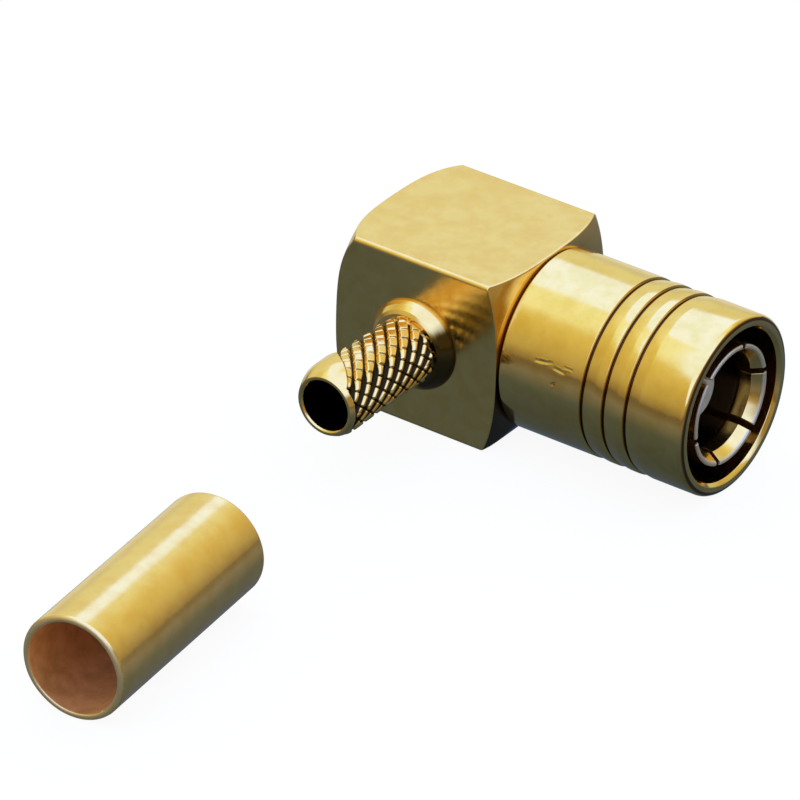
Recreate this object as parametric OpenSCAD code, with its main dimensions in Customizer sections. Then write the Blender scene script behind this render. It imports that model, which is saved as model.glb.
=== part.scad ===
// Right-angle push-on coaxial plug for thin cable, with its crimp ferrule lying beside it.
// The shell points along +X, the cable enters along -Y, and both axes cross above the origin.
// The origin is on the underside of the block, and the ferrule lies on the same surface.

/* [Block] */
// Side of the square bar that the block is turned from, and outer diameter of the shell
bar_side = 6.35; // [6.1:0.05:6.6]
// Distance from the cable axis to the back end of the block
block_back = 3.25; // [3.1:0.05:3.8]
// Distance from the cable axis to the shoulder that the shell stands against
block_front = 3.32; // [3.2:0.02:3.8]
// Distance from the bar's side in to the edge of the flat that is turned at each end
end_flat_inset = 0.275; // [0.15:0.025:0.4]
// Radius of the turned crown that runs out to the corners at the back
back_crown_r = 2; // [1.8:0.1:3]
// Radius of the turned crown that runs out to the corners at the front
front_crown_r = 2.8; // [2:0.1:4]
// Flat broken along the four long edges of the bar
edge_break = 0.12; // [0.05:0.01:0.2]
// Radius that rounds the front edge of the underside, under the shell
lower_front_r = 0.8; // [0.5:0.05:0.8]
// Width of the ledge in the solder chamber that the spring contact stands against
chamber_ledge = 0.15; // [0.1:0.01:0.3]
// Width of the ledge that the end cap stands against
cap_ledge = 0.37; // [0.2:0.01:0.45]
// Thickness of the end cap
cap_t = 0.9; // [0.6:0.05:1]

/* [Coupling shell] */
// Length of the shell from the shoulder to its mouth
shell_len = 7.38; // [7:0.02:8]
// Wall of the shell round the spring contact
shroud_wall = 0.475; // [0.4:0.025:0.55]
// Depth of the bore inside that wall, from the mouth
shroud_depth = 5.8; // [5.2:0.1:6]
// Wall of the spigot that is pressed into the block
shell_spigot_wall = 0.28; // [0.2:0.01:0.29]
// Length of that spigot
shell_spigot_len = 1.1; // [0.8:0.1:1.3]
// Chamfer on the rear edge of the shell, which shows as a dark line
shell_rear_chamfer = 0.13; // [0.05:0.01:0.2]
// Radius of the outer edge at the mouth
mouth_edge_r = 0.2; // [0.1:0.02:0.25]
// Chamfer that leads into the shroud bore
mouth_lead_in = 0.12; // [0.05:0.01:0.15]
// Number of grip grooves turned round the shell
groove_count = 3; // [1:1:3]
// Distance from the shoulder to the first groove
groove_first = 3.36; // [3:0.02:4]
// Distance from one groove to the next
groove_pitch = 0.86; // [0.6:0.02:1]
// Depth of a groove
groove_depth = 0.17; // [0.08:0.01:0.2]
// Width of the steep side of a groove, toward the block
groove_steep_w = 0.07; // [0.03:0.01:0.12]
// Width of the gentle side of a groove, toward the mouth
groove_gentle_w = 0.22; // [0.12:0.01:0.3]

/* [Spring contact] */
// Narrow throat that snaps over the mating socket
throat_d = 3.5; // [3.42:0.01:3.56]
// Straight length of the throat
throat_len = 0.45; // [0.3:0.05:0.6]
// How far the bore opens out behind the throat, on each side
finger_relief = 0.165; // [0.16:0.005:0.2]
// Wall of the fingers behind the throat
finger_wall = 0.165; // [0.12:0.005:0.2]
// Height of the lip round the tips of the fingers
finger_lip = 0.045; // [0.02:0.005:0.08]
// Length of the cone that leads into the throat
finger_lead_in = 0.38; // [0.3:0.02:0.5]
// Distance from the mouth of the shell back to the tips of the fingers
finger_recess = 0.12; // [0.05:0.01:0.3]
// Number of spring fingers
finger_count = 6; // [4:1:8]
// Width of the slot between two fingers
finger_slot_w = 0.24; // [0.15:0.01:0.3]
// Length of that slot
finger_slot_len = 4.6; // [3.5:0.1:4.8]
// Angle of the first slot above the horizontal
finger_slot_angle = 12; // [0:1:59]
// Length of contact that is held in the block behind the shell
contact_seat_len = 1; // [0.6:0.1:1.2]
// Wall of the contact round its insulator
contact_seat_wall = 0.58; // [0.45:0.01:0.7]
// Distance from the roots of the slots back to the face of the insulator
slot_margin = 0.4; // [0.2:0.05:0.8]

/* [Insulators and centre contact] */
// Wall of the insulator's nose round the centre contact
nose_wall = 0.44; // [0.35:0.01:0.6]
// Distance from the mouth of the shell back to the tip of the nose
nose_recess = 1.38; // [1.2:0.02:1.6]
// Bore of the centre contact, which takes the mating pin
socket_d = 0.52; // [0.5:0.01:0.56]
// Wall of the centre contact round that bore
socket_wall = 0.2; // [0.15:0.01:0.24]
// Depth of that bore
socket_depth = 2.6; // [2:0.1:3]
// Width of the slot that lets the socket spring open
socket_slot_w = 0.12; // [0.08:0.01:0.16]
// Length of that slot
socket_slot_len = 2.1; // [1.5:0.1:2.4]
// Distance from the tip of the nose back to the tip of the centre contact
pin_recess = 0.15; // [0.05:0.01:0.3]
// Height of the flange that stops the centre contact behind its insulator
pin_flange = 0.29; // [0.15:0.01:0.4]
// Thickness of that flange
pin_flange_t = 0.3; // [0.2:0.02:0.4]
// How far the centre contact reaches back past the cable axis
pin_tail = 0.75; // [0.5:0.05:1]
// Width of the solder notch in its rear end
solder_notch_w = 0.5; // [0.4:0.02:0.54]
// Depth of that notch
solder_notch_depth = 0.9; // [0.6:0.05:1.2]
// Thickness of the insulating disc behind the solder joint
disc_t = 0.85; // [0.5:0.05:1]

/* [Crimp stem] */
// Distance from the shell axis to the tip of the stem
stem_reach = 8.26; // [8:0.02:9]
// Bore of the stem, for the cable's insulated core
stem_bore_d = 1.82; // [1.7:0.01:1.9]
// Wall of the spigot pressed into the block
stem_spigot_wall = 0.34; // [0.2:0.005:0.4]
// Length of that spigot, which stops short of the spring contact's seat
stem_spigot_len = 1; // [0.8:0.05:1.05]
// Height of the collar above that spigot, where it stands against the block
collar_step = 0.42; // [0.3:0.01:0.5]
// Length of the collar, which tapers away from the block
collar_len = 0.4; // [0.3:0.02:0.6]
// Height of the collar's small end above the bottom of the knurl
collar_front_step = 0.16; // [0.13:0.01:0.25]
// Wall of the stem at the bottom of the knurl
stem_wall = 0.18; // [0.15:0.005:0.22]
// Height of the knurl's diamonds
knurl_height = 0.13; // [0.08:0.01:0.16]
// Diamonds in one row round the stem
knurl_columns = 13; // [10:1:14]
// Distance along the stem between two rows of the same phase
knurl_pitch = 0.64; // [0.56:0.01:0.72]
// Number of rows, each half a pitch from the next
knurl_rows = 10; // [6:1:10]
// Share of its cell that the foot of a diamond fills
knurl_foot_fill = 0.88; // [0.7:0.02:0.92]
// Share of its cell that the top of a diamond fills
knurl_top_fill = 0.45; // [0.3:0.05:0.6]
// Height of the plain tip above the bottom of the knurl
tip_step = 0.23; // [0.15:0.01:0.26]
// Length over which the tip draws in toward its end
tip_taper_len = 0.7; // [0.5:0.02:0.8]
// Wall of the stem at its end
tip_end_wall = 0.15; // [0.12:0.01:0.2]

/* [Crimp ferrule] */
// Room for the cable's braid between the knurl and the ferrule once it is slid on
braid_gap = 0.4; // [0.3:0.01:0.45]
// Wall of the ferrule
ferrule_wall = 0.25; // [0.2:0.01:0.35]
// Length of the ferrule
ferrule_len = 8.7; // [8:0.1:10]
// Edge broken at both ends of the ferrule
ferrule_edge = 0.06; // [0.02:0.01:0.1]
// Where the middle of the ferrule lies along the shell axis
ferrule_x = 1.4; // [-2:0.1:4]
// Where the middle of the ferrule lies along the cable axis
ferrule_y = -19.8; // [-24:0.1:-16]
// How far the ferrule is turned from the cable axis
ferrule_turn = 5.7; // [0:0.1:15]

/* [Hidden] */
$fn = 72;

gold = [0.86, 0.71, 0.38];
gold_dark = [0.78, 0.62, 0.32];
white_plastic = [0.9, 0.9, 0.87];

cut = 0.5;           // how far a cutting tool runs past the surface it opens
arc_steps = 8;       // straight pieces in a turned arc
axis_h = bar_side / 2;
corner_r = bar_side / sqrt(2);
shell_r = bar_side / 2;
end_flat_r = shell_r - end_flat_inset;
shroud_bore_r = shell_r - shroud_wall;
throat_r = throat_d / 2;
finger_bore_r = throat_r + finger_relief;
contact_r = finger_bore_r + finger_wall;
finger_lip_r = contact_r + finger_lip;
insulator_r = contact_r - contact_seat_wall;
shell_spigot_r = contact_r + shell_spigot_wall;
chamber_r = contact_r - chamber_ledge;
cap_r = chamber_r + cap_ledge;
pin_r = socket_d / 2 + socket_wall;
nose_r = pin_r + nose_wall;
stem_bore_r = stem_bore_d / 2;
stem_spigot_r = stem_bore_r + stem_spigot_wall;
collar_r = stem_spigot_r + collar_step;
knurl_root_r = stem_bore_r + stem_wall;
collar_front_r = knurl_root_r + collar_front_step;
tip_r = knurl_root_r + tip_step;
tip_end_r = stem_bore_r + tip_end_wall;
ferrule_bore_r = knurl_root_r + knurl_height + braid_gap;
ferrule_r = ferrule_bore_r + ferrule_wall;

// Stations along the shell axis, measured from the cable axis
mouth_x = block_front + shell_len;
spigot_x = block_front - shell_spigot_len;
contact_back_x = spigot_x - contact_seat_len;
cap_face_x = -block_back + cap_t;
shroud_floor_x = mouth_x - shroud_depth;
finger_tip_x = mouth_x - finger_recess;
throat_x = finger_tip_x - finger_lead_in;
finger_bore_front_x = throat_x - throat_len - finger_relief;
slot_root_x = finger_tip_x - finger_slot_len;
insulator_front_x = slot_root_x - slot_margin;
nose_tip_x = mouth_x - nose_recess;
pin_tip_x = nose_tip_x - pin_recess;
pin_end_x = -pin_tail;

// Small edges that repeat on the turned pieces
edge = 0.06;

// Turned pieces are outlines of [radius, station] spun round the shell axis or the cable axis.
module turned_on_shell_axis() {
    translate([0, 0, axis_h]) rotate([0, 90, 0]) rotate_extrude() children();
}

module on_shell_axis(x) {
    translate([x, 0, axis_h]) rotate([0, 90, 0]) children();
}

module on_cable_axis(reach) {
    translate([0, -reach, axis_h]) rotate([90, 0, 0]) children();
}

// Points of a crown that leaves a flat end at its edge and curves out past the corners of the bar.
function crown(end_x, crown_r, side) =
    let (sweep = asin((corner_r + edge - end_flat_r) / crown_r))
    [for (i = [0 : arc_steps])
        let (t = sweep * i / arc_steps)
        [end_flat_r + crown_r * sin(t), end_x - side * crown_r * (1 - cos(t))]];

// The same list from its last point to its first.
function reversed(points) = [for (i = [len(points) - 1 : -1 : 0]) points[i]];

// One grip groove: steep toward the block and gentle toward the mouth.
function groove(x) = [
    [shell_r, x - groove_steep_w],
    [shell_r - groove_depth, x],
    [shell_r, x + groove_gentle_w]];

module body_block() {
    color(gold)
    difference() {
        intersection() {
            square_bar();
            turned_on_shell_axis() polygon(concat(
                [[0, -block_back]],
                crown(-block_back, back_crown_r, -1),
                reversed(crown(block_front, front_crown_r, 1)),
                [[0, block_front]]));
        }
        // Seat of the end cap, solder chamber, seat of the spring contact and seat of the shell
        on_shell_axis(-block_back - cut) cylinder(r = cap_r, h = cap_t + cut);
        on_shell_axis(cap_face_x) cylinder(r = chamber_r, h = contact_back_x - cap_face_x);
        on_shell_axis(contact_back_x) cylinder(r = contact_r, h = contact_seat_len);
        on_shell_axis(spigot_x) cylinder(r = shell_spigot_r, h = shell_spigot_len + cut);
        // Seat of the crimp stem, through into the chamber
        on_cable_axis(0) cylinder(r = stem_spigot_r, h = axis_h + cut);
        lower_front_cutter();
    }
}

// What the rounding takes off the front edge of the underside.
module lower_front_cutter() {
    r = lower_front_r;
    translate([block_front - r, 0, r]) rotate([90, 0, 0])
        linear_extrude(bar_side + 2 * cut, center = true)
            difference() {
                translate([0, -r - cut]) square(r + cut);
                circle(r = r);
            }
}

// The bar with its four long edges broken.
module square_bar() {
    h = axis_h;
    e = h - edge_break;
    on_shell_axis(-block_back - cut)
        linear_extrude(block_back + block_front + 2 * cut)
            polygon([[e, -h], [h, -e], [h, e], [e, h], [-e, h], [-h, e], [-h, -e], [-e, -h]]);
}

module plug_shell() {
    color(gold)
    turned_on_shell_axis() polygon(concat(
        [[contact_r, spigot_x],
         [shell_spigot_r, spigot_x],
         [shell_spigot_r, block_front],
         [shell_r - shell_rear_chamfer, block_front],
         [shell_r, block_front + shell_rear_chamfer]],
        [for (i = [0 : groove_count - 1])
            for (p = groove(block_front + groove_first + i * groove_pitch)) p],
        [for (i = [0 : arc_steps])
            let (t = 90 * i / arc_steps)
            [shell_r - mouth_edge_r * (1 - cos(t)), mouth_x - mouth_edge_r * (1 - sin(t))]],
        [[shroud_bore_r + mouth_lead_in, mouth_x],
         [shroud_bore_r, mouth_x - mouth_lead_in],
         [shroud_bore_r, shroud_floor_x],
         [contact_r, shroud_floor_x]]));
}

module spring_contact() {
    color(gold_dark)
    difference() {
        turned_on_shell_axis() polygon([
            [insulator_r, contact_back_x],
            [contact_r, contact_back_x],
            [contact_r, throat_x - throat_len],
            [finger_lip_r, throat_x],
            [finger_lip_r, finger_tip_x - edge],
            [finger_lip_r - edge, finger_tip_x],
            [finger_lip_r - 2 * edge, finger_tip_x],
            [throat_r, throat_x],
            [throat_r, throat_x - throat_len],
            [finger_bore_r, finger_bore_front_x],
            [finger_bore_r, insulator_front_x],
            [insulator_r, insulator_front_x]]);
        for (i = [0 : finger_count - 1])
            on_shell_axis(slot_root_x)
                rotate([0, 0, 90 + finger_slot_angle + i * 360 / finger_count])
                    translate([nose_r, -finger_slot_w / 2, 0])
                        cube([finger_lip_r, finger_slot_w, finger_slot_len + cut]);
    }
}

module front_insulator() {
    color(white_plastic)
    turned_on_shell_axis() polygon([
        [pin_r, contact_back_x],
        [insulator_r, contact_back_x],
        [insulator_r, insulator_front_x],
        [nose_r, insulator_front_x],
        [nose_r, nose_tip_x - edge],
        [nose_r - edge, nose_tip_x],
        [pin_r, nose_tip_x]]);
}

module centre_contact() {
    color(gold_dark)
    difference() {
        turned_on_shell_axis() polygon([
            [0, pin_end_x],
            [pin_r, pin_end_x],
            [pin_r, contact_back_x - pin_flange_t],
            [pin_r + pin_flange, contact_back_x - pin_flange_t],
            [pin_r + pin_flange, contact_back_x],
            [pin_r, contact_back_x],
            [pin_r, pin_tip_x - edge],
            [pin_r - edge, pin_tip_x],
            [0, pin_tip_x]]);
        on_shell_axis(pin_tip_x - socket_depth) cylinder(d = socket_d, h = socket_depth + cut);
        on_shell_axis(pin_tip_x - socket_slot_len)
            translate([-2 * pin_r, -socket_slot_w / 2, 0])
                cube([4 * pin_r, socket_slot_w, socket_slot_len + cut]);
        // The cable's inner wire lies across this notch
        on_shell_axis(pin_end_x - cut)
            translate([-solder_notch_w / 2, -2 * pin_r, 0])
                cube([solder_notch_w, 4 * pin_r, solder_notch_depth + cut]);
    }
}

module rear_insulator() {
    color(white_plastic)
    on_shell_axis(cap_face_x) cylinder(r = chamber_r, h = disc_t);
}

module end_cap() {
    color(gold)
    turned_on_shell_axis() polygon([
        [0, -block_back],
        [cap_r - edge, -block_back],
        [cap_r, -block_back + edge],
        [cap_r, cap_face_x],
        [0, cap_face_x]]);
}

// Stations of the stem run outward from the shell axis along the cable axis.
module crimp_stem() {
    knurl_start = axis_h + collar_len;
    knurl_end = knurl_start + (knurl_rows + 1) * knurl_pitch / 2;
    color(gold) {
        on_cable_axis(0) rotate_extrude() polygon([
            [stem_bore_r, axis_h - stem_spigot_len],
            [stem_spigot_r, axis_h - stem_spigot_len],
            [stem_spigot_r, axis_h],
            [collar_r, axis_h],
            [collar_r, axis_h + edge],
            [collar_front_r, axis_h + collar_len],
            [knurl_root_r, axis_h + collar_len],
            [knurl_root_r, knurl_end],
            [tip_r, knurl_end + edge],
            [tip_r, stem_reach - tip_taper_len],
            [(tip_r * 3 + tip_end_r * 2) / 5, stem_reach - tip_taper_len / 3],
            [tip_end_r, stem_reach],
            [stem_bore_r + edge, stem_reach],
            [stem_bore_r, stem_reach - edge]]);
        for (row = [0 : knurl_rows - 1])
            for (column = [0 : knurl_columns - 1])
                on_cable_axis(knurl_start + (row + 1) * knurl_pitch / 2)
                    rotate([0, 0, (column + (row % 2) / 2) * 360 / knurl_columns])
                        knurl_diamond();
    }
}

// One raised diamond of the knurl, a four-sided pyramid with a flat top that points outward.
// Its foot is sunk in the stem so that no edge of it stands clear of the round surface.
module knurl_diamond() {
    sink = 0.08;
    half_round = knurl_root_r * sin(180 / knurl_columns);
    half_along = knurl_pitch / 2;
    slope = (knurl_foot_fill - knurl_top_fill) / knurl_height;
    foot = knurl_foot_fill + slope * sink;
    rings = [[knurl_root_r - sink, foot], [knurl_root_r + knurl_height, knurl_top_fill]];
    points = [for (ring = rings)
        for (corner = [[0, 1], [1, 0], [0, -1], [-1, 0]])
            [ring[0], corner[0] * half_round * ring[1], corner[1] * half_along * ring[1]]];
    polyhedron(points, [
        [3, 2, 1, 0], [4, 5, 6, 7],
        [1, 5, 4, 0], [2, 6, 5, 1], [3, 7, 6, 2], [0, 4, 7, 3]]);
}

module crimp_ferrule() {
    half = ferrule_len / 2;
    color(gold)
    translate([ferrule_x, ferrule_y, ferrule_r]) rotate([90, 0, ferrule_turn])
        rotate_extrude() polygon([
            [ferrule_bore_r, -half + ferrule_edge],
            [ferrule_bore_r + ferrule_edge, -half],
            [ferrule_r - ferrule_edge, -half],
            [ferrule_r, -half + ferrule_edge],
            [ferrule_r, half - ferrule_edge],
            [ferrule_r - ferrule_edge, half],
            [ferrule_bore_r + ferrule_edge, half],
            [ferrule_bore_r, half - ferrule_edge]]);
}

body_block();
plug_shell();
spring_contact();
front_insulator();
centre_contact();
rear_insulator();
end_cap();
crimp_stem();
crimp_ferrule();
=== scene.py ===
"""A right-angle push-on coaxial plug, gold plated, with its loose crimp ferrule lying in front of it."""
from math import asin, atan2, cos, pi, radians, sin, tan

import bmesh
import bpy
from mathutils import Matrix, Vector


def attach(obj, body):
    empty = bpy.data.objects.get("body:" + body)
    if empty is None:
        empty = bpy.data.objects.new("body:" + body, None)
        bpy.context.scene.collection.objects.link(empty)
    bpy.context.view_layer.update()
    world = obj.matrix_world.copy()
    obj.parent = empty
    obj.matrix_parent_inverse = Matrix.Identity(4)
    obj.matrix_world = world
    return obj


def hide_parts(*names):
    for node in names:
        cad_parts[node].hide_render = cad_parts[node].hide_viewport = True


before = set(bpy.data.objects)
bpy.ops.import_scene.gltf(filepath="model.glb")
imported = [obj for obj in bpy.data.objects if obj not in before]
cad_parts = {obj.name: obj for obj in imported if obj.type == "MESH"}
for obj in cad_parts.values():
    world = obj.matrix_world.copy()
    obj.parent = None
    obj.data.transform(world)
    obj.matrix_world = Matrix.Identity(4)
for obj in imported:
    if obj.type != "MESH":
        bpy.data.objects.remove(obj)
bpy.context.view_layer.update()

# The camera looks down on the plug from its right, as the photograph does, through a very long lens
# that is rolled a little. It aims at the middle of the shell's front half.
mm = 0.001
view_turn = radians(34.84)
view_height = radians(31.23)
view_roll = radians(1.509)
view_distance = 250 * mm
target = Vector((3.7, 0, 3.175)) * mm
target_offset = Vector((5.327, 2.0)) * mm
lens_mm = 337.10

toward_camera = Vector((sin(view_turn) * cos(view_height),
                        -cos(view_turn) * cos(view_height),
                        sin(view_height)))
level = Vector((cos(view_turn), sin(view_turn), 0))
upright = toward_camera.cross(level)
image_right = cos(view_roll) * level + sin(view_roll) * upright
image_up = cos(view_roll) * upright - sin(view_roll) * level

camera = bpy.data.objects.new("camera", bpy.data.cameras.new("camera"))
bpy.context.scene.collection.objects.link(camera)
camera.data.lens = lens_mm
camera.data.sensor_width = 36
camera.data.clip_start = 1 * mm
camera.data.clip_end = 50
camera_axes = Matrix((image_right, image_up, toward_camera)).transposed()
camera.matrix_world = camera_axes.to_4x4()
camera.location = (target + toward_camera * view_distance
                   - image_right * target_offset.x - image_up * target_offset.y)
bpy.context.scene.camera = camera

# The studio is a soft light tent: a grey wall in front and to the right, a paler wall behind on the left,
# cool softboxes overhead on the left and behind the camera, and a dark table top that the polished metal
# reflects. To the camera itself the surroundings are plain and pale.
wall_grey = [(0.00, (0.30, 0.27, 0.21)), (0.20, (0.54, 0.51, 0.31)), (0.48, (0.70, 0.67, 0.37)),
             (0.62, (0.78, 0.77, 0.43)), (0.71, (0.85, 0.89, 0.60)), (0.78, (0.99, 1.23, 1.43)),
             (1.00, (1.02, 1.34, 1.75))]
wall_pale = [(0.00, (0.66, 0.75, 0.70)), (0.10, (0.74, 0.85, 0.72)), (0.24, (0.83, 0.94, 0.80)),
             (0.52, (0.84, 0.99, 1.06)), (1.00, (1.00, 1.30, 1.60))]
table_dark = [(0.00, (0.17, 0.15, 0.12)), (0.08, (0.18, 0.17, 0.16)), (0.22, (0.22, 0.24, 0.33)),
              (0.50, (0.092, 0.135, 0.230)), (1.00, (0.06, 0.09, 0.15))]
table_far = (0.78, 0.82, 0.66)
wall_right = (0.36, 0.32, 0.20)
softbox_colour = (1.04, 1.50, 3.7)
backdrop_pale = (0.97, 0.97, 0.97)

# Where each part of the tent starts and where it is full, along directions to the right, back and top
toward_pale_wall = (-0.6, 0.8, 0)
pale_wall_edge = (0.42, 0.72)
left_box_tilt = 0.46
left_box_height = (0.85, 0.90)
left_box_right_edge = (-0.12, -0.26)
left_box_left_edge = (-0.74, -0.62)
toward_front_box = (0.40, -0.35, 0.85)
front_box_edge = (0.66, 0.72)
right_wall_edge = (0.50, 0.80)
right_wall_top = (0.62, 0.42)
table_edge = (0.0, -0.035)
far_table_back = (0.30, 0.62)
far_table_height = (-0.48, -0.34)
far_table_right = (0.10, -0.14)


def add(tree, kind, inputs=None, **settings):
    """A shader node with its settings; each input is a number, a colour or another node's output."""
    made = tree.nodes.new("ShaderNode" + kind)
    for name, value in settings.items():
        setattr(made, name, value)
    for name, value in (inputs or {}).items():
        socket = made.inputs[name]
        if isinstance(value, bpy.types.Node):
            value = value.outputs[0]
        if isinstance(value, bpy.types.NodeSocket):
            tree.links.new(value, socket)
        elif socket.type == "RGBA":
            socket.default_value = (*value, 1)
        else:
            socket.default_value = value
    return made


def maths(tree, operation, *values):
    return add(tree, "Math", dict(enumerate(values)), operation=operation).outputs[0]


def ramp(tree, factor, stops):
    """A colour that runs through the stops, each a place from 0 to 1 and its colour."""
    made = add(tree, "ValToRGB", {"Fac": factor})
    line = made.color_ramp.elements
    while len(line) < len(stops):
        line.new(0.5)
    for element, (place, colour) in zip(line, stops):
        element.position = place
        element.color = (*colour, 1)
    return made.outputs[0]


def smooth(tree, value, low, high):
    """0 below low and 1 above high, with a soft step between them."""
    return add(tree, "MapRange", {"Value": value, "From Min": low, "From Max": high},
               interpolation_type="SMOOTHSTEP").outputs[0]


def mixed(tree, share, first, second):
    return add(tree, "Mix", {0: share, 6: first, 7: second}, data_type="RGBA").outputs[2]


world = bpy.data.worlds.new("light tent")
bpy.context.scene.world = world
world.use_nodes = True
sky = world.node_tree
sky.nodes.clear()
direction = add(sky, "TexCoord").outputs["Generated"]
to_right, to_back, to_top = add(sky, "SeparateXYZ", {0: direction}).outputs


def facing(tree, direction, way):
    """How far a direction points the given way."""
    return add(tree, "VectorMath", {0: direction, 1: way}, operation="DOT_PRODUCT").outputs["Value"]


def product(tree, *shares):
    """Several shares multiplied together."""
    total = shares[0]
    for share in shares[1:]:
        total = maths(tree, "MULTIPLY", total, share)
    return total


pale_share = smooth(sky, facing(sky, direction, toward_pale_wall), *pale_wall_edge)
walls = mixed(sky, pale_share, ramp(sky, to_top, wall_grey), ramp(sky, to_top, wall_pale))
tilted_height = maths(sky, "MULTIPLY_ADD", to_back, left_box_tilt, to_top)
left_box = product(sky, smooth(sky, tilted_height, *left_box_height),
                   smooth(sky, to_right, *left_box_right_edge), smooth(sky, to_right, *left_box_left_edge))
front_box = smooth(sky, facing(sky, direction, toward_front_box), *front_box_edge)
lit = mixed(sky, maths(sky, "MAXIMUM", left_box, front_box), walls, softbox_colour)
right_share = product(sky, smooth(sky, to_right, *right_wall_edge), smooth(sky, to_top, *right_wall_top))
lit = mixed(sky, right_share, lit, wall_right)
table_share = smooth(sky, to_top, *table_edge)
far_share = product(sky, smooth(sky, to_back, *far_table_back), smooth(sky, to_top, *far_table_height),
                    smooth(sky, to_right, *far_table_right))
table = mixed(sky, far_share, ramp(sky, maths(sky, "MULTIPLY", to_top, -1), table_dark), table_far)
surroundings = mixed(sky, table_share, lit, table)
seen = mixed(sky, add(sky, "LightPath").outputs["Is Camera Ray"], surroundings, backdrop_pale)
add(sky, "OutputWorld", {"Surface": add(sky, "Background", {"Color": seen, "Strength": 1.0})})

scene = bpy.context.scene
scene.view_settings.view_transform = "Standard"
scene.view_settings.look = "None"
scene.view_settings.exposure = 0
scene.view_settings.gamma = 1

# The floor is a plain white sheet. It glows a little, as an evenly lit sheet does, so that only a faint
# shadow shows under the plug, and the metal reflects the dark table of the tent in its place.
floor_reach = 3.0
floor_glow = 0.925
floor_tone = (0.085, 0.075, 0.045)

floor_mesh = bpy.data.meshes.new("floor")
floor_corners = [(x * floor_reach, y * floor_reach, 0) for x, y in ((-1, -1), (1, -1), (1, 1), (-1, 1))]
floor_mesh.from_pydata(floor_corners, [], [(0, 1, 2, 3)])
floor = bpy.data.objects.new("floor", floor_mesh)
scene.collection.objects.link(floor)
floor.visible_glossy = False
paper = bpy.data.materials.new("white sheet")
paper.use_nodes = True
paper.node_tree.nodes.clear()
glow = add(paper.node_tree, "Emission", {"Color": (1, 1, 1), "Strength": floor_glow})
matt = add(paper.node_tree, "BsdfDiffuse", {"Color": floor_tone})
add(paper.node_tree, "OutputMaterial", {"Surface": add(paper.node_tree, "AddShader", {0: glow, 1: matt})})
floor_mesh.materials.append(paper)

# The block is cut from square brass bar and both its ends are turned, so each flat ends in a crown that
# curves out to the corners. It is gold plated and polished, so its front face mirrors the stem.
axis_height = 3.175
bar_half = 3.175
edge_break = 0.14
edge_round = 0.035
block_back = -3.25
block_front = 3.32
end_flat_radius = 2.9
back_crown = 2.0
front_crown = 2.8
lower_front_round = 0.8
section_step = 0.2
cap_seat = 2.3
cap_seat_end = -2.35
cavity = 1.93
contact_seat = 2.08
contact_seat_end = 1.22
shell_seat = 2.36
shell_seat_end = 2.22
stem_seat_radius = 1.25
gold_tone = (0.90, 0.60, 0.17)
gold_deep = (0.86, 0.53, 0.13)
# Colour of the painted shade on the crown under the shell, and where that shade starts and is full
crown_shade_colour = (0.10, 0.065, 0.025)
crown_shade_from_front = (2.70, 2.85)
crown_shade_from_side = (-3.165, -3.13)
crown_shade_below = (0.5, -0.5)

shell_axis = Matrix.Translation((0, 0, axis_height)) @ Matrix.Rotation(pi / 2, 4, "Y")
cable_axis = Matrix.Translation((0, 0, axis_height)) @ Matrix.Rotation(pi / 2, 4, "X")


def place_in_mm(tree):
    """The place on the piece, in millimetres."""
    place = add(tree, "TexCoord").outputs["Object"]
    return add(tree, "VectorMath", {0: place, "Scale": 1000}, operation="SCALE").outputs["Vector"]


def gold_plate(name, roughness=0.16, ripple=1.0, tone=gold_tone, deep=gold_deep, metallic=1.0):
    """Polished gold plate: cloudy in tone, faintly dimpled, with fine specks that catch the light."""
    material = bpy.data.materials.new(name)
    material.use_nodes = True
    tree = material.node_tree
    tree.nodes.clear()
    place = place_in_mm(tree)
    cloud = add(tree, "TexNoise", {"Vector": place, "Scale": 1.3, "Detail": 5, "Roughness": 0.6})
    specks = add(tree, "TexNoise", {"Vector": place, "Scale": 11, "Detail": 4})
    dimples = add(tree, "TexNoise", {"Vector": place, "Scale": 1.6, "Detail": 1})
    colour = mixed(tree, smooth(tree, cloud, 0.35, 0.7), tone, deep)
    rough = add(tree, "MapRange", {"Value": specks, "From Min": 0.3, "From Max": 0.75,
                                   "To Min": roughness, "To Max": roughness + 0.09})
    bump = add(tree, "Bump", {"Height": dimples, "Strength": 1, "Distance": 0.006 * mm * ripple})
    bump = add(tree, "Bump", {"Height": specks, "Strength": 1, "Distance": 0.0006 * mm * ripple,
                              "Normal": bump})
    metal = add(tree, "BsdfPrincipled", {"Base Color": colour, "Metallic": metallic, "Roughness": rough,
                                         "Normal": bump})
    add(tree, "OutputMaterial", {"Surface": metal})
    return material


def height_over_axis(tree, z):
    return maths(tree, "SUBTRACT", z, axis_height)


def distance(tree, side, up):
    """How far a place lies from an axis that it lies beside and above by so much."""
    squares = maths(tree, "ADD", maths(tree, "MULTIPLY", side, side), maths(tree, "MULTIPLY", up, up))
    return maths(tree, "SQRT", squares)


def stain(material, share, colour):
    """Puts a second colour over the plate's own where share says so."""
    tree = material.node_tree
    metal = next(n for n in tree.nodes if n.bl_idname == "ShaderNodeBsdfPrincipled")
    plate_colour = metal.inputs["Base Color"].links[0].from_socket
    tree.links.new(mixed(tree, share, plate_colour, colour), metal.inputs["Base Color"])


def roughen(material, share, extra):
    """Adds up to so much to the plate's own roughness where share says so."""
    tree = material.node_tree
    metal = next(n for n in tree.nodes if n.bl_idname == "ShaderNodeBsdfPrincipled")
    rough = metal.inputs["Roughness"].links[0].from_socket
    tree.links.new(maths(tree, "MULTIPLY_ADD", share, extra, rough), metal.inputs["Roughness"])


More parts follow.
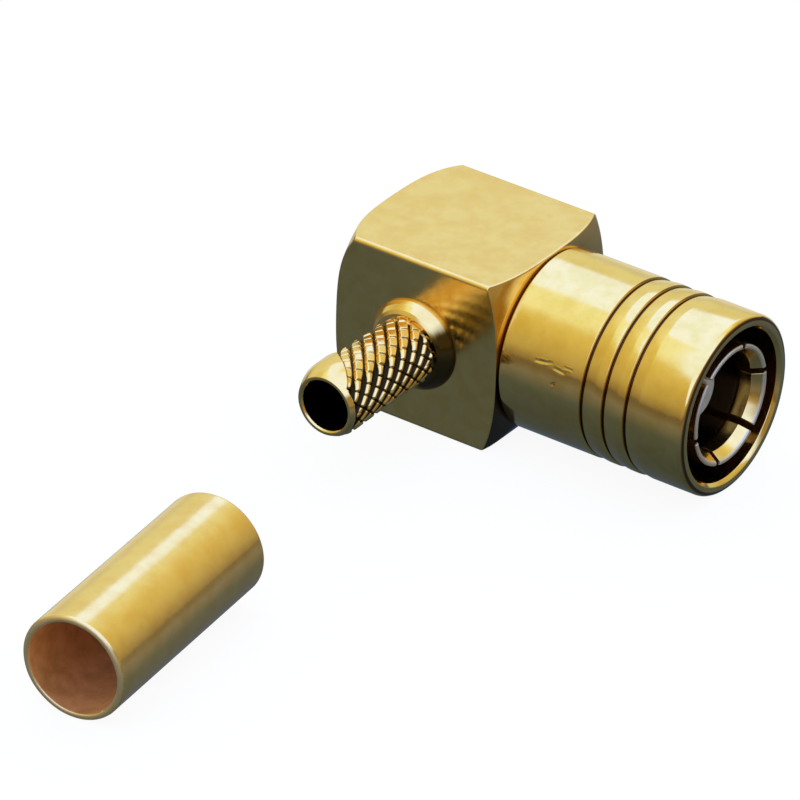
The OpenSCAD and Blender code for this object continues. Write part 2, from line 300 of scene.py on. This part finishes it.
def rounded(corners, steps=4):
    """A closed outline through corners (across, along, rounding), with an arc at each rounded corner."""
    line = []
    for i, (across, along, size) in enumerate(corners):
        here = Vector((across, along))
        if not size:
            line.append(here)
            continue
        back = (Vector(corners[i - 1][:2]) - here).normalized()
        on = (Vector(corners[(i + 1) % len(corners)][:2]) - here).normalized()
        half = back.angle(on) / 2
        centre = here + (back + on).normalized() * size / sin(half)
        first = here + back * size / tan(half) - centre
        last = here + on * size / tan(half) - centre
        start = atan2(first.y, first.x)
        turn = (atan2(last.y, last.x) - start + pi) % (2 * pi) - pi
        line += [centre + size * Vector((cos(start + turn * k / steps), sin(start + turn * k / steps)))
                 for k in range(steps + 1)]
    return line


def smooth_curves(piece):
    """Curved faces shade smoothly, and faces of a square millimetre or more stay truly flat."""
    faces = piece.data.polygons
    faces.foreach_set("use_smooth", [len(face.vertices) == 4 and face.area < 1e-6 for face in faces])
    normals = piece.modifiers.new("flat faces stay flat", "WEIGHTED_NORMAL")
    normals.weight = 50
    normals.keep_sharp = True


def make_piece(name, rings, material):
    """A closed skin over rings of points in millimetres, each joined to the next and the last to the
    first."""
    count, around = len(rings), len(rings[0])
    body = bmesh.new()
    rows = [[body.verts.new(Vector(p) * mm) for p in ring] for ring in rings]
    for i in range(count):
        for j in range(around):
            body.faces.new((rows[i][j], rows[i][(j + 1) % around],
                            rows[(i + 1) % count][(j + 1) % around], rows[(i + 1) % count][j]))
    bmesh.ops.remove_doubles(body, verts=body.verts, dist=1e-8)
    bmesh.ops.recalc_face_normals(body, faces=body.faces)
    mesh = bpy.data.meshes.new(name)
    body.to_mesh(mesh)
    body.free()
    made = bpy.data.objects.new(name, mesh)
    scene.collection.objects.link(made)
    mesh.materials.append(material)
    smooth_curves(made)
    return made


def turned(name, outline, axis, material, around=192, swell=None):
    """The outline of (radius, station) spun round an axis; swell may add to the radius at each place."""
    rings = []
    for radius, station in outline:
        ring = []
        for j in range(around):
            angle = 2 * pi * j / around
            here = radius + (swell(angle, station, radius) if swell else 0)
            ring.append(axis @ Vector((here * cos(angle), here * sin(angle), station)))
        rings.append(ring)
    return make_piece(name, rings, material)


def carve(piece, cutters, bevel=0.0):
    """Cuts the cutters out of the piece, may break the new edges, and keeps the result as its mesh."""
    piece.modifiers.clear()
    for cutter in cutters:
        cut = piece.modifiers.new("cut", "BOOLEAN")
        cut.object = cutter
        cut.solver = "EXACT"
    if bevel:
        broken = piece.modifiers.new("broken edges", "BEVEL")
        broken.width = bevel * mm
        broken.segments = 2
        broken.limit_method = "ANGLE"
        broken.angle_limit = radians(40)
    bpy.context.view_layer.update()
    result = bpy.data.meshes.new_from_object(piece.evaluated_get(bpy.context.evaluated_depsgraph_get()))
    piece.modifiers.clear()
    piece.data = result
    for cutter in cutters:
        bpy.data.objects.remove(cutter)
    smooth_curves(piece)


def hand_over(piece, node):
    """The piece stands for its CAD node, which it hides, and rides on the root body."""
    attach(piece, "root")
    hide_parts(node)


def bar_section():
    """Points round the bar with its four long edges rounded, close enough for the crowns to curve."""
    corners = [(bar_half, -bar_half), (bar_half, bar_half), (-bar_half, bar_half), (-bar_half, -bar_half)]
    sparse = rounded([(y, z, edge_break) for y, z in corners], 8)
    dense = []
    for here, after in zip(sparse, sparse[1:] + sparse[:1]):
        parts = max(1, int((after - here).length / section_step))
        dense += [here.lerp(after, k / parts) for k in range(parts)]
    return dense


def crown_line(point, outward, end, side, crown):
    """From the flat at one end of the block, over its turned crown and round the edge to the bar's side."""
    reach = point.length
    ray = point.normalized()
    lean = asin((reach - end_flat_radius) / crown)

    def on_crown(t):
        across = ray * (end_flat_radius + crown * sin(t))
        return Vector((end - side * crown * (1 - cos(t)), across.x, across.y))

    crown_normal = Vector((side * cos(lean), ray.x * sin(lean), ray.y * sin(lean)))
    side_normal = Vector((0, outward.x, outward.y))
    inward = (crown_normal + side_normal) / (1 + crown_normal.dot(side_normal))
    centre = on_crown(lean) - inward * edge_round
    first = centre + crown_normal * edge_round
    last_lean = asin((Vector(first[1:]).length - end_flat_radius) / crown)
    line = [on_crown(last_lean * k / 14) for k in range(14)]
    return line + [centre + crown_normal.slerp(side_normal, k / 5) * edge_round for k in range(6)]


def eased(point):
    """Keeps a point within the bar, and rounds the front edge of the underside, under the shell."""
    x, y, z = point.x, min(max(point.y, -bar_half), bar_half), min(max(point.z, 0), 2 * bar_half)
    centre_x = block_front - lower_front_round
    out = Vector((x - centre_x, z - lower_front_round))
    if x > centre_x and z < lower_front_round and out.length > lower_front_round:
        out *= lower_front_round / out.length
        return Vector((centre_x + out.x, y, lower_front_round + out.y))
    return Vector((x, y, z))


seats = rounded([(end_flat_radius, block_front, 0), (shell_seat, block_front, 0),
                 (shell_seat, shell_seat_end, 0), (contact_seat, shell_seat_end, 0),
                 (contact_seat, contact_seat_end, 0), (cavity, contact_seat_end, 0),
                 (cavity, cap_seat_end, 0), (cap_seat, cap_seat_end, 0),
                 (cap_seat, block_back, 0.03), (end_flat_radius, block_back, 0)])[1:-1]
section = bar_section()
rings = []
for j, point in enumerate(section):
    along = section[(j + 1) % len(section)] - section[j - 1]
    outward = Vector((along.y, -along.x)).normalized()
    ray = point.normalized()
    line = [Vector((x, ray.x * r, ray.y * r)) for r, x in seats]
    line += crown_line(point, outward, block_back, -1, back_crown)
    front = crown_line(point, outward, block_front, 1, front_crown)[::-1]
    start = Vector((block_front - lower_front_round, *point))
    line += [start.lerp(front[0], k / 8) for k in range(8)] + front
    rings.append([eased(p + Vector((0, 0, axis_height))) for p in line])

# The crown under the shell is painted dark below the shell's middle: painted shade, where the shell keeps
# the light from it.
block_gold = gold_plate("polished gold", 0.13, 0.9)
tree = block_gold.node_tree
x, y, z = add(tree, "SeparateXYZ", {0: place_in_mm(tree)}).outputs
painted_crown_shade = product(tree, smooth(tree, x, *crown_shade_from_front), smooth(tree, y, *crown_shade_from_side),
                     smooth(tree, height_over_axis(tree, z), *crown_shade_below))
stain(block_gold, painted_crown_shade, crown_shade_colour)
block = make_piece("square_block", rings, block_gold)
stem_hole = turned("stem seat", [(0, 0), (stem_seat_radius, 0), (stem_seat_radius, 4), (0, 4)],
                   cable_axis, block_gold, 96)
carve(block, [stem_hole])
hand_over(block, "body_block")

# The shell is a brass tube turned from bar, pressed into the block by a spigot. Three grip grooves are cut
# round it, steep toward the block and easing out toward the mouth, and it is plated like the block.
shell_radius = 3.175
shell_mouth = 10.70
groove_stations = (6.68, 7.54, 8.40)
groove_floor = 3.03
shroud_bore = 2.7
shroud_end = 4.9
nick_step = 0.035
# Brown of the grime and painted shade in the grip grooves, and the radii that it lies between
groove_shade_and_grime = (0.17, 0.08, 0.028)
groove_shade_below = (3.13, 3.075)
groove_shade_above = (2.98, 3.00)
# Nicks from handling: station, angle above the horizontal, half length, half width, depth, slant
nicks = ((5.02, 19.6, 0.30, 0.050, 0.030, 2.0), (5.30, 20.8, 0.16, 0.035, 0.020, 4.0),
         (5.72, 18.0, 0.26, 0.045, 0.028, -1.5), (5.56, 8.4, 0.11, 0.055, 0.030, 12.0),
         (6.05, 21.0, 0.20, 0.030, 0.018, 1.0))


def nicked(angle, station, radius):
    """How far the shell is dented by its nicks, or raised round them, at an angle and station."""
    if radius < shell_radius - 0.001:
        return 0
    depth = 0
    for place, height, half_length, half_width, deep, slant in nicks:
        along = (station - place) / half_length
        if abs(along) < 1:
            middle = radians(180 - height - slant * (station - place))
            across = ((angle - radians(90) - middle + pi) % (2 * pi) - pi) * shell_radius / half_width
            fade = (1 - along * along) ** 0.5
            across /= fade + 0.05
            if abs(across) < 2:
                depth += deep * fade * (-(1 - across * across) if abs(across) < 1
                                        else 0.35 * (1 - (2 * abs(across) - 3) ** 2))
    return depth


# Fine grime and painted shade darken the grip grooves.
shell_gold = gold_plate("turned gold", 0.07, 0.7, deep=(0.83, 0.53, 0.12))
tree = shell_gold.node_tree
y, z = add(tree, "SeparateXYZ", {0: place_in_mm(tree)}).outputs[1:]
radius = distance(tree, y, height_over_axis(tree, z))
shade_in_grooves = product(tree, smooth(tree, radius, *groove_shade_below), smooth(tree, radius, *groove_shade_above))
stain(shell_gold, shade_in_grooves, groove_shade_and_grime)

outline = [(contact_seat, shell_seat_end, 0), (shell_seat, shell_seat_end, 0), (shell_seat, block_front, 0),
           (3.045, block_front, 0.03), (shell_radius, 3.45, 0.05)]
for station in groove_stations:
    outline += [(shell_radius, station - 0.05, 0.02), (groove_floor, station - 0.005, 0.012),
                (3.12, station + 0.075, 0.06), (shell_radius, station + 0.50, 0.6)]
outline += [(shell_radius, shell_mouth, 0.2), (2.82, shell_mouth, 0.04), (shroud_bore, 10.58, 0.04),
            (shroud_bore, shroud_end, 0.05), (contact_seat, shroud_end, 0)]

# The plain stretch next to the block is stepped finely, for the nicks.
line = []
for point in rounded(outline, 5):
    on_side = line and all(abs(p.x - shell_radius) < 1e-6 for p in (point, line[-1]))
    if on_side and point.y < groove_stations[0]:
        start = line[-1]
        steps = int((point.y - start.y) / nick_step)
        line += [start.lerp(point, k / steps) for k in range(1, steps)]
    line.append(point)
shell = turned("coupling_shell", line, shell_axis, shell_gold, 480, nicked)
hand_over(shell, "plug_shell")

# The spring contact is a thin tube of gold-plated spring alloy inside the shell. Six slots are sawn into
# its front end, and the fingers between them close in to a throat that snaps over the mating socket.
finger_tip = 10.58
slot_root = 5.98
slot_width = 0.24
slot_turn = 12
finger_count = 6
throat = 1.75
throat_start = 9.75
throat_end = 10.2
tube_bore = 1.915
insulator_radius = 1.5
insulator_end = 5.58
# Colour of the painted shade deep inside the tube, and where it starts and is full
shaded_plate = (0.24, 0.16, 0.10)
shaded_inside = (2.02, 1.97)
shaded_behind = (9.80, 9.45)
worn_plate = (0.80, 0.68, 0.42)
worn_from = (10.49, 10.54)
worn_roughness = 0.42

outline = [(insulator_radius, contact_seat_end, 0), (contact_seat, contact_seat_end, 0),
           (contact_seat, throat_start, 0.3), (2.125, throat_end, 0.1), (2.125, finger_tip, 0.055),
           (1.995, finger_tip, 0.055), (throat, throat_end, 0.06), (throat, throat_start, 0.06),
           (tube_bore, 9.585, 0.05), (tube_bore, insulator_end, 0), (insulator_radius, insulator_end, 0)]

# Deep inside the tube, behind the throat, the plate is painted dark as shade, and it is worn dull on the
# fingers' ends.
finger_gold = gold_plate("spring gold", 0.15, 0.5)
tree = finger_gold.node_tree
x, y, z = add(tree, "SeparateXYZ", {0: place_in_mm(tree)}).outputs
radius = distance(tree, y, height_over_axis(tree, z))
shaded = product(tree, smooth(tree, radius, *shaded_inside), smooth(tree, x, *shaded_behind))
stain(finger_gold, shaded, shaded_plate)
worn_tips = smooth(tree, x, *worn_from)
stain(finger_gold, worn_tips, worn_plate)
roughen(finger_gold, worn_tips, worn_roughness)
fingers = turned("spring_fingers", rounded(outline, 5), shell_axis, finger_gold, 240)


def bar_cutter(name, low, high, axis):
    """A rectangular cutter between two corners, in millimetres in the frame of an axis."""
    (x0, y0, z0), (x1, y1, z1) = low, high
    rectangle = ((x0, y0), (x1, y0), (x1, y1), (x0, y1))
    rings = [[axis @ Vector((x, y, z)) for x, y in rectangle] for z in (z0, z1)]
    body = bmesh.new()
    near, far = ([body.verts.new(p * mm) for p in ring] for ring in rings)
    body.faces.new(near)
    body.faces.new(far)
    for k in range(4):
        body.faces.new((near[k], near[(k + 1) % 4], far[(k + 1) % 4], far[k]))
    bmesh.ops.recalc_face_normals(body, faces=body.faces)
    mesh = bpy.data.meshes.new(name)
    body.to_mesh(mesh)
    body.free()
    made = bpy.data.objects.new(name, mesh)
    scene.collection.objects.link(made)
    return made


slots = []
for k in range(finger_count):
    spin = shell_axis @ Matrix.Rotation(radians(90 + slot_turn + 360 / finger_count * k), 4, "Z")
    low, high = (0.9, -slot_width / 2, slot_root), (2.6, slot_width / 2, 11)
    slots.append(bar_cutter(f"slot {k}", low, high, spin))
carve(fingers, slots, 0.012)
hand_over(fingers, "spring_contact")

# The front insulator is a white fluoroplastic bush with a thin nose that reaches forward between the
# fingers. It is machined, slightly see-through and holds the centre contact.
nose_tip = 9.32
nose_radius = 0.9
contact_radius = 0.46
# The white plastic's colours are grey: painted shade for its place deep in the shell's mouth
shaded_plastic_light = (0.36, 0.34, 0.26)
shaded_plastic_dark = (0.27, 0.26, 0.20)


def fluoroplastic(name):
    """White fluoroplastic, given a grey colour as painted shade, a little cloudy, with the marks of turning.
    """
    material = bpy.data.materials.new(name)
    material.use_nodes = True
    tree = material.node_tree
    tree.nodes.clear()
    place = place_in_mm(tree)
    cloud = add(tree, "TexNoise", {"Vector": place, "Scale": 2.5, "Detail": 3})
    turning = add(tree, "TexNoise", {"Vector": place, "Scale": 14, "Detail": 3})
    colour = mixed(tree, cloud, shaded_plastic_light, shaded_plastic_dark)
    bump = add(tree, "Bump", {"Height": turning, "Strength": 1, "Distance": 0.003 * mm})
    plastic = add(tree, "BsdfPrincipled", {"Base Color": colour, "Roughness": 0.38, "IOR": 1.36,
                                           "Subsurface Weight": 0.35, "Subsurface Radius": (1, 1, 1),
                                           "Subsurface Scale": 0.3 * mm, "Normal": bump})
    add(tree, "OutputMaterial", {"Surface": plastic})
    return material


shaded_white_bush = fluoroplastic("white fluoroplastic")
outline = [(contact_radius, contact_seat_end, 0), (insulator_radius, contact_seat_end, 0),
           (insulator_radius, insulator_end, 0.05), (nose_radius, insulator_end, 0.05),
           (nose_radius, nose_tip, 0.06), (contact_radius, nose_tip, 0.03)]
nose = turned("insulator_nose", rounded(outline), shell_axis, shaded_white_bush, 128)
hand_over(nose, "front_insulator")

# The centre contact is a gold-plated socket for the mating pin, slotted so that it grips. A flange stops it
# behind the insulator, and the cable's inner wire is soldered into the notch at its rear.
pin_tip = 9.17
pin_back = -0.75
pin_bore = 0.26
flange_radius = 0.75
flange_back = 0.92

outline = [(0, pin_back, 0), (contact_radius, pin_back, 0.03), (contact_radius, flange_back, 0),
           (flange_radius, flange_back, 0.03), (flange_radius, contact_seat_end, 0),
           (contact_radius, contact_seat_end, 0), (contact_radius, pin_tip, 0.06), (pin_bore, pin_tip, 0.02),
           (pin_bore, 6.57, 0), (0, 6.50, 0)]
pin = turned("centre_socket", rounded(outline), shell_axis, gold_plate("contact gold", 0.15, 0.3), 96)
carve(pin, [bar_cutter("grip slot", (-1, -0.06, 7.07), (1, 0.06, 9.6), shell_axis),
            bar_cutter("solder notch", (-0.25, -1, -1.2), (0.25, 1, 0.15), shell_axis)], 0.01)
hand_over(pin, "centre_contact")

# The rear insulator is a plain disc punched from sheet of the same white plastic. It lies hidden between
# the solder joint and the cap, and keeps the two apart.
rear_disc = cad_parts["rear_insulator"]
# It takes the same grey colour of painted shade.
rear_disc.data.materials.clear()
rear_disc.data.materials.append(shaded_white_bush)

# The end cap is a turned brass disc, gold plated like the block. It is pressed flush into the block's back
# once the wire is soldered.
outline = [(0, block_back, 0), (cap_seat, block_back, 0.05), (cap_seat, cap_seat_end, 0.03),
           (0, cap_seat_end, 0)]
cap = turned("end_cap_disc", rounded(outline), shell_axis, gold_plate("cap gold", 0.15, 0.8), 192)
hand_over(cap, "end_cap")

# The crimp stem is turned from brass, plated, and pressed into the side of the block up to its tapered
# collar. Two sets of grooves are rolled across each other round its barrel and leave a diamond knurl that
# ends aslant, and its plain tip draws in.
knurl_start = 3.71
knurl_pitch = 0.64
knurl_columns = 13
knurl_root = 1.045
knurl_top = 1.225
tip_radius = 1.32
tip_taper_start = 7.45
stem_end = 8.26
stem_end_radius = 1.06
stem_bore = 0.91
stem_back = 2.175
knurl_stop = 8.225
knurl_steps = 200
# Near-black of the painted shade in the knurl's grooves and on the collar
knurl_shade_black = (0.022, 0.012, 0.003)

# The knurl runs out on a slant round the upper side, from its latest station to its earliest
slant_top = 88
slant_turn = 150
slant_per_degree = 0.0190
knurl_end_top = 7.3
knurl_end_first = 6.78
knurl_end_last = 8.05


def knurl_end(angle):
    """The station where the knurl runs out, which is aslant over the upper side."""
    turn = (angle * 180 / pi) % 360
    if turn > 2 * slant_turn:
        turn -= 360
    if turn < slant_turn:
        slanted = knurl_end_top - slant_per_degree * (turn - slant_top)
        return min(max(slanted, knurl_end_first), knurl_end_last)
    return knurl_end_first + (knurl_end_last - knurl_end_first) * (turn - slant_turn) / slant_turn


def soft_step(value):
    """0 up to 0 and 1 from 1 on, with a soft step between them."""
    value = min(max(value, 0), 1)
    return value * value * (3 - 2 * value)


def stem_swell(angle, station, radius):
    """How far the surface stands above the bottom of the knurl at an angle and station of the stem."""
    if abs(radius - knurl_root) > 1e-6 or station <= knurl_start:
        return 0
    taper = max(station - tip_taper_start, 0) / (stem_end - tip_taper_start)
    tip = tip_radius - (tip_radius - stem_end_radius) * taper ** 1.8
    u = angle * knurl_columns / (2 * pi)
    v = (station - knurl_start) / knurl_pitch
    from_main = 1 - abs((u + v) % 1 * 2 - 1)
    from_cross = 1 - abs((u - v) % 1 * 2 - 1)
    # The ridges along the main grooves are narrower on top of the stem, and each is a little domed.
    flank = 0.74 - 0.44 * soft_step((sin(angle) - 0.62) / 0.3)
    ridge = min(max((from_main - 0.10) / flank, 0), 1)
    ridge -= 0.06 * ridge ** 6
    cross_cut = 0.36 * (1 - soft_step((from_cross - 0.04) / 0.24))
    # Each diamond is worn by an amount of its own.
    wear = sin(12.9 * int(u + v + 50) + 78.2 * int(u - v + 50)) * 43758.5 % 1
    top = min(knurl_top, tip - 0.02) - 0.03 * wear * wear
    diamond = max(top - (knurl_top - knurl_root) * (1 - ridge * (1 - cross_cut)), knurl_root)
    diamond = knurl_root + (diamond - knurl_root) * min((station - knurl_start) / 0.06, 1)
    run_out = min(max((station - knurl_end(angle)) / 0.07 + 0.5, 0), 1)
    return diamond + (tip - diamond) * run_out - knurl_root


# Painted shade darkens the knurl's grooves, reaching higher up low on the sides, and the collar's lower
# right.
stem_gold = gold_plate("knurled gold", 0.10, 0.4)
tree = stem_gold.node_tree
x, y, z = add(tree, "SeparateXYZ", {0: place_in_mm(tree)}).outputs
station = maths(tree, "MULTIPLY", y, -1)
up = height_over_axis(tree, z)
radius = distance(tree, x, up)
up_share = maths(tree, "DIVIDE", up, radius)
right_share = maths(tree, "DIVIDE", x, radius)
shade_level = maths(tree, "MULTIPLY_ADD", smooth(tree, up_share, 0.93, 0.66), 0.075, 1.055)
shade_in_grooves = product(tree, smooth(tree, maths(tree, "SUBTRACT", radius, shade_level), 0.03, 0),
                     smooth(tree, station, 3.68, 3.73), smooth(tree, station, 8.1, 8.0))
collar_shade = product(tree, smooth(tree, station, 3.74, 3.70), smooth(tree, station, 3.16, 3.18),
                    smooth(tree, up_share, 0.80, 0.55), smooth(tree, right_share, 0.2, 0.5))
knurl_and_collar_shade = maths(tree, "MAXIMUM", shade_in_grooves, maths(tree, "MULTIPLY", collar_shade, 0.9))
stain(stem_gold, knurl_and_collar_shade, knurl_shade_black)

line = rounded([(stem_bore, stem_back, 0), (stem_seat_radius, stem_back, 0), (stem_seat_radius, bar_half, 0),
                (1.67, bar_half, 0.02), (1.645, 3.27, 0.05), (1.56, 3.44, 0.1), (1.43, 3.61, 0.1),
                (1.31, 3.695, 0.03), (1.20, 3.705, 0.01), (knurl_root, knurl_start, 0)])
line += [Vector((knurl_root, knurl_start + (knurl_stop - knurl_start) * k / knurl_steps))
         for k in range(1, knurl_steps + 1)]
line += rounded([(1.075, 8.235, 0), (stem_end_radius, stem_end, 0.03), (0.96, stem_end, 0.03),
                 (stem_bore, 8.20, 0.03), (stem_bore, stem_back, 0)])[:-1]
stem = turned("knurled_stem", line, cable_axis, stem_gold, 390, stem_swell)
hand_over(stem, "crimp_stem")

# The crimp ferrule is a plain length of thin copper tube, plated gold outside. It lies loose in front of
# the plug, turned a little, and is slid over the stem and the braid before it is crimped. The plug's
# polished sides don't mirror it.
ferrule_half = 4.35
ferrule_radius = 1.87
ferrule_bore = 1.62
ferrule_turn = radians(5.7)
ferrule_middle = Vector((1.4, -19.8, ferrule_radius))
ferrule_axis = (Matrix.Translation(ferrule_middle) @ Matrix.Rotation(ferrule_turn, 4, "Z")
                @ Matrix.Rotation(pi / 2, 4, "X"))
lengthwise = ferrule_axis.to_3x3() @ Vector((0, 0, 1))
sawn_gold = (0.88, 0.62, 0.23)
sawn_from_end = (0.09, 0.04)
sawn_roughness = 0.22
filed_length = 0.14
copper_dark = (0.40, 0.14, 0.022)
copper_light = (0.56, 0.21, 0.042)

outline = [(ferrule_bore, -ferrule_half, 0.11), (ferrule_radius, -ferrule_half, 0.13),
           (ferrule_radius, ferrule_half, 0.13), (ferrule_bore, ferrule_half, 0.11)]

# The sawn ends are paler and duller than the rest.
ferrule_gold = gold_plate("ferrule gold", 0.12, 1.2, metallic=0.93)
tree = ferrule_gold.node_tree
along = facing(tree, place_in_mm(tree), lengthwise)
from_middle = maths(tree, "ABSOLUTE", maths(tree, "SUBTRACT", along, lengthwise.dot(ferrule_middle)))
sawn = smooth(tree, from_middle, *(ferrule_half - reach for reach in sawn_from_end))
stain(ferrule_gold, sawn, sawn_gold)
roughen(ferrule_gold, sawn, sawn_roughness)


def trimmed(angle, station, radius):
    """How far the sawn ends are filed in, unevenly, at an angle and station."""
    near_end = max(1 - (ferrule_half - abs(station)) / filed_length, 0)
    depth = 0.016 + 0.010 * sin(3 * angle + 1) + 0.006 * sin(7 * angle + station)
    return -near_end * near_end * depth


ferrule = turned("loose_ferrule", rounded(outline), ferrule_axis, ferrule_gold, 192, trimmed)


def bare_copper(name):
    """Bare copper in the bore, dulled by the draw and by handling."""
    material = bpy.data.materials.new(name)
    material.use_nodes = True
    tree = material.node_tree
    tree.nodes.clear()
    place = place_in_mm(tree)
    cloud = add(tree, "TexNoise", {"Vector": place, "Scale": 1.8, "Detail": 5, "Roughness": 0.6})
    colour = mixed(tree, smooth(tree, cloud, 0.3, 0.7), copper_dark, copper_light)
    bump = add(tree, "Bump", {"Height": cloud, "Strength": 1, "Distance": 0.02 * mm})
    metal = add(tree, "BsdfPrincipled", {"Base Color": colour, "Metallic": 0, "Roughness": 0.6,
                                         "Specular IOR Level": 0.15, "Normal": bump})
    add(tree, "OutputMaterial", {"Surface": metal})
    return material


ferrule.data.materials.append(bare_copper("bare copper"))
for face in ferrule.data.polygons:
    offset = face.center / mm - ferrule_middle
    from_axis = (offset - lengthwise * offset.dot(lengthwise)).length
    face.material_index = int(from_axis < ferrule_bore + 0.02)
ferrule.visible_glossy = False
hand_over(ferrule, "crimp_ferrule")
